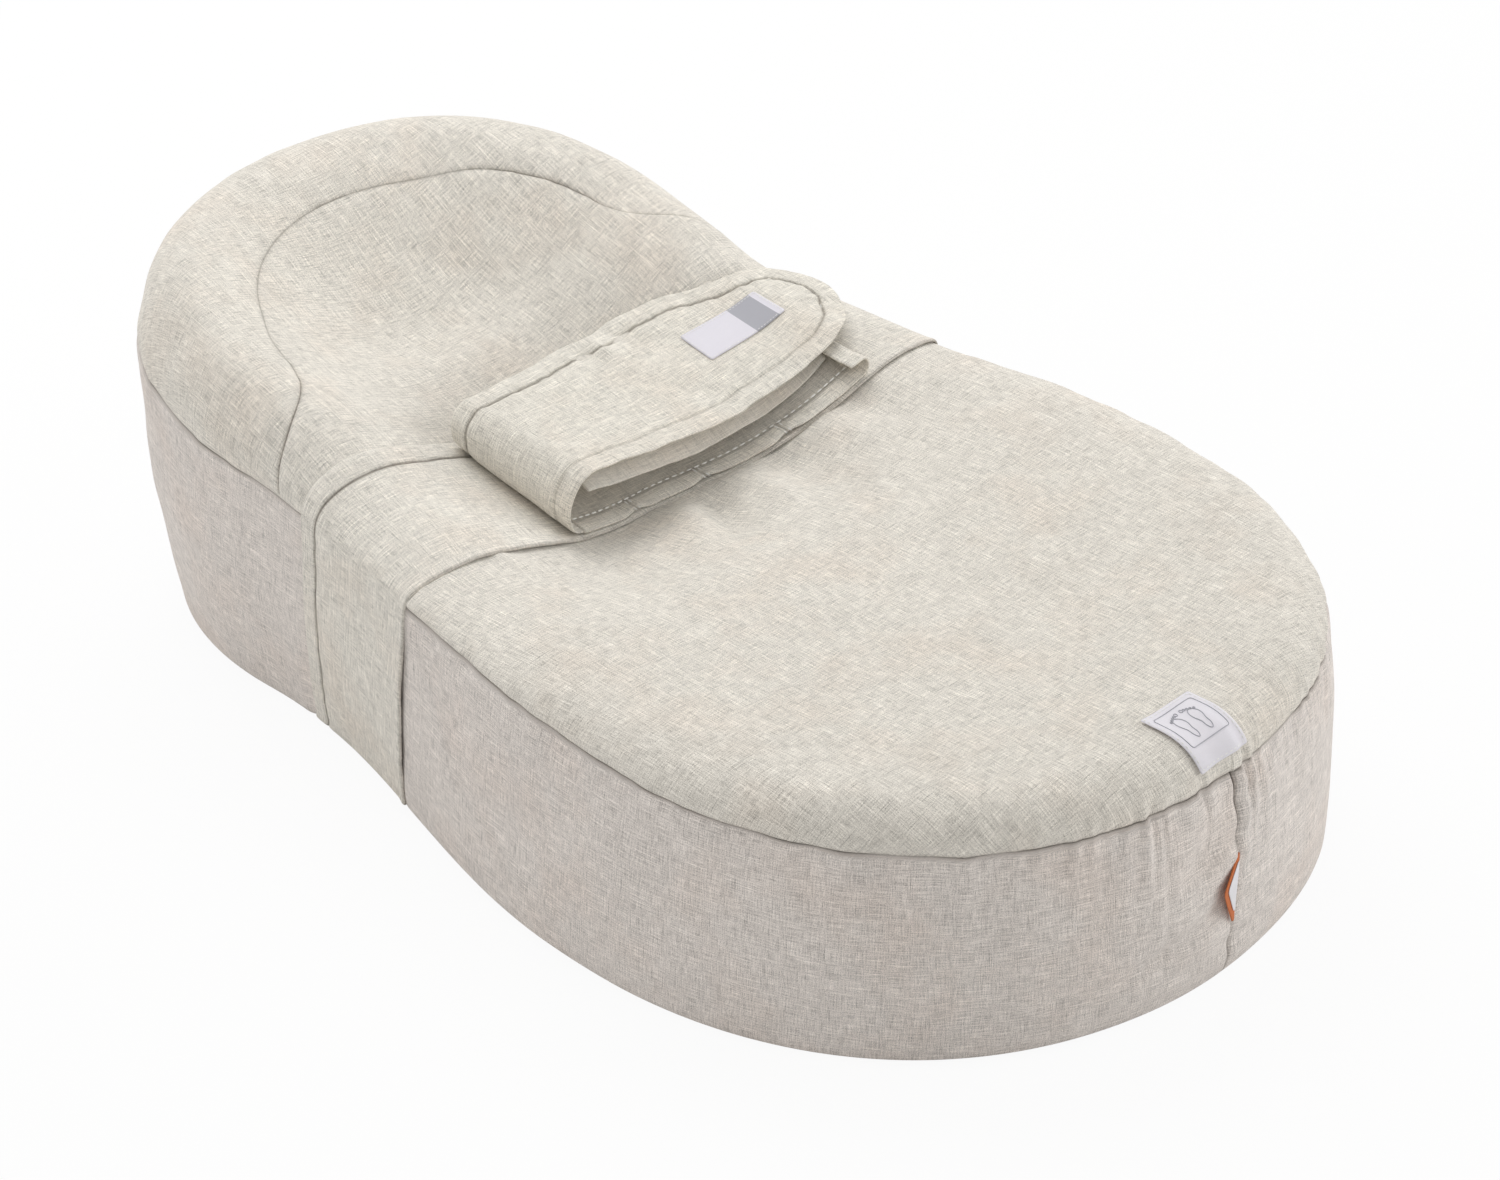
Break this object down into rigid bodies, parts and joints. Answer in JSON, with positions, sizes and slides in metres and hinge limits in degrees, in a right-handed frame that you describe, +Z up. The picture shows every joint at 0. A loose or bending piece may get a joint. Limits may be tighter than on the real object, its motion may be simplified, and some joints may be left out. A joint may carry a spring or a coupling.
{
  "type": "infant lounger",
  "caption": "Low sculpted foam nest for a young baby, with a raised rim, a fitted linen sheet, a band round the waist, a folding tummy belt and a leg cushion inside.",
  "frame": {"origin": "middle of the lounger's outline, on the floor it lies on", "axes": "+X towards the feet, the head at -X; +Y towards the side where the belt fastens; +Z up"},
  "size_m": [0.7154, 0.4462, 0.213],
  "materials": {
    "linen": "slubbed plain weave, mottled oatmeal",
    "linen_edge": "slubbed plain weave, turned hem",
    "cover_cloth": "white waterproof jersey",
    "foam": "cream open-cell foam",
    "hook_and_loop": "hook and loop pile",
    "tape": "woven tape",
    "zip_plastic": "moulded",
    "label": "satin label",
    "tag_ribbon": "woven ribbon"
  },
  "bodies": {
    "nest": {"foam_core": "foam", "inner_cover": "cover_cloth", "leg_pocket_lining": "cover_cloth", "leg_loop_strip_near": "hook_and_loop", "leg_loop_strip_far": "hook_and_loop", "inner_cover_base": "cover_cloth", "zip_tape_near": "tape", "zip_tape_far": "tape", "zip_teeth": "zip_plastic", "zip_stop_head": "zip_plastic", "zip_stop_foot": "zip_plastic", "sheet_head_piece": "linen", "sheet_top_panel": "linen", "sheet_side_near": "linen", "sheet_side_far": "linen", "sheet_hem": "linen_edge", "hem_elastic": "tape", "waist_band": "linen", "belt_base": "linen", "belt_fold": "linen", "band_loop_patch": "hook_and_loop", "foot_label": "label", "side_tag": "tag_ribbon", "side_tag_panel": "label"},
    "belt": {"belt_leaf": "linen", "belt_leaf_lining": "linen", "belt_hook_patch": "hook_and_loop", "belt_label": "label"},
    "leg_cushion": {"leg_cushion": "cover_cloth", "leg_hook_strip_near": "hook_and_loop", "leg_hook_strip_far": "hook_and_loop"},
    "zip_slider": {"zip_slider": "zip_plastic"}
  },
  "joints": [
    {"name": "belt_leaf_unfold", "type": "hinge", "parent": "nest", "child": "belt", "pos_m": [-0.08, -0.058, 0.148], "axis": [0.9929, 0, -0.1191], "range_deg": [0, 140], "deforming": ["belt_fold"]},
    {"name": "leg_cushion_slide", "type": "slide", "parent": "nest", "child": "leg_cushion", "axis": [1, 0, 0], "range_m": [-0.0195, 0.0195]},
    {"name": "zip_slider_slide", "type": "slide", "parent": "nest", "child": "zip_slider", "axis": [1, 0, 0], "range_m": [0, 0.276]}
  ]
}
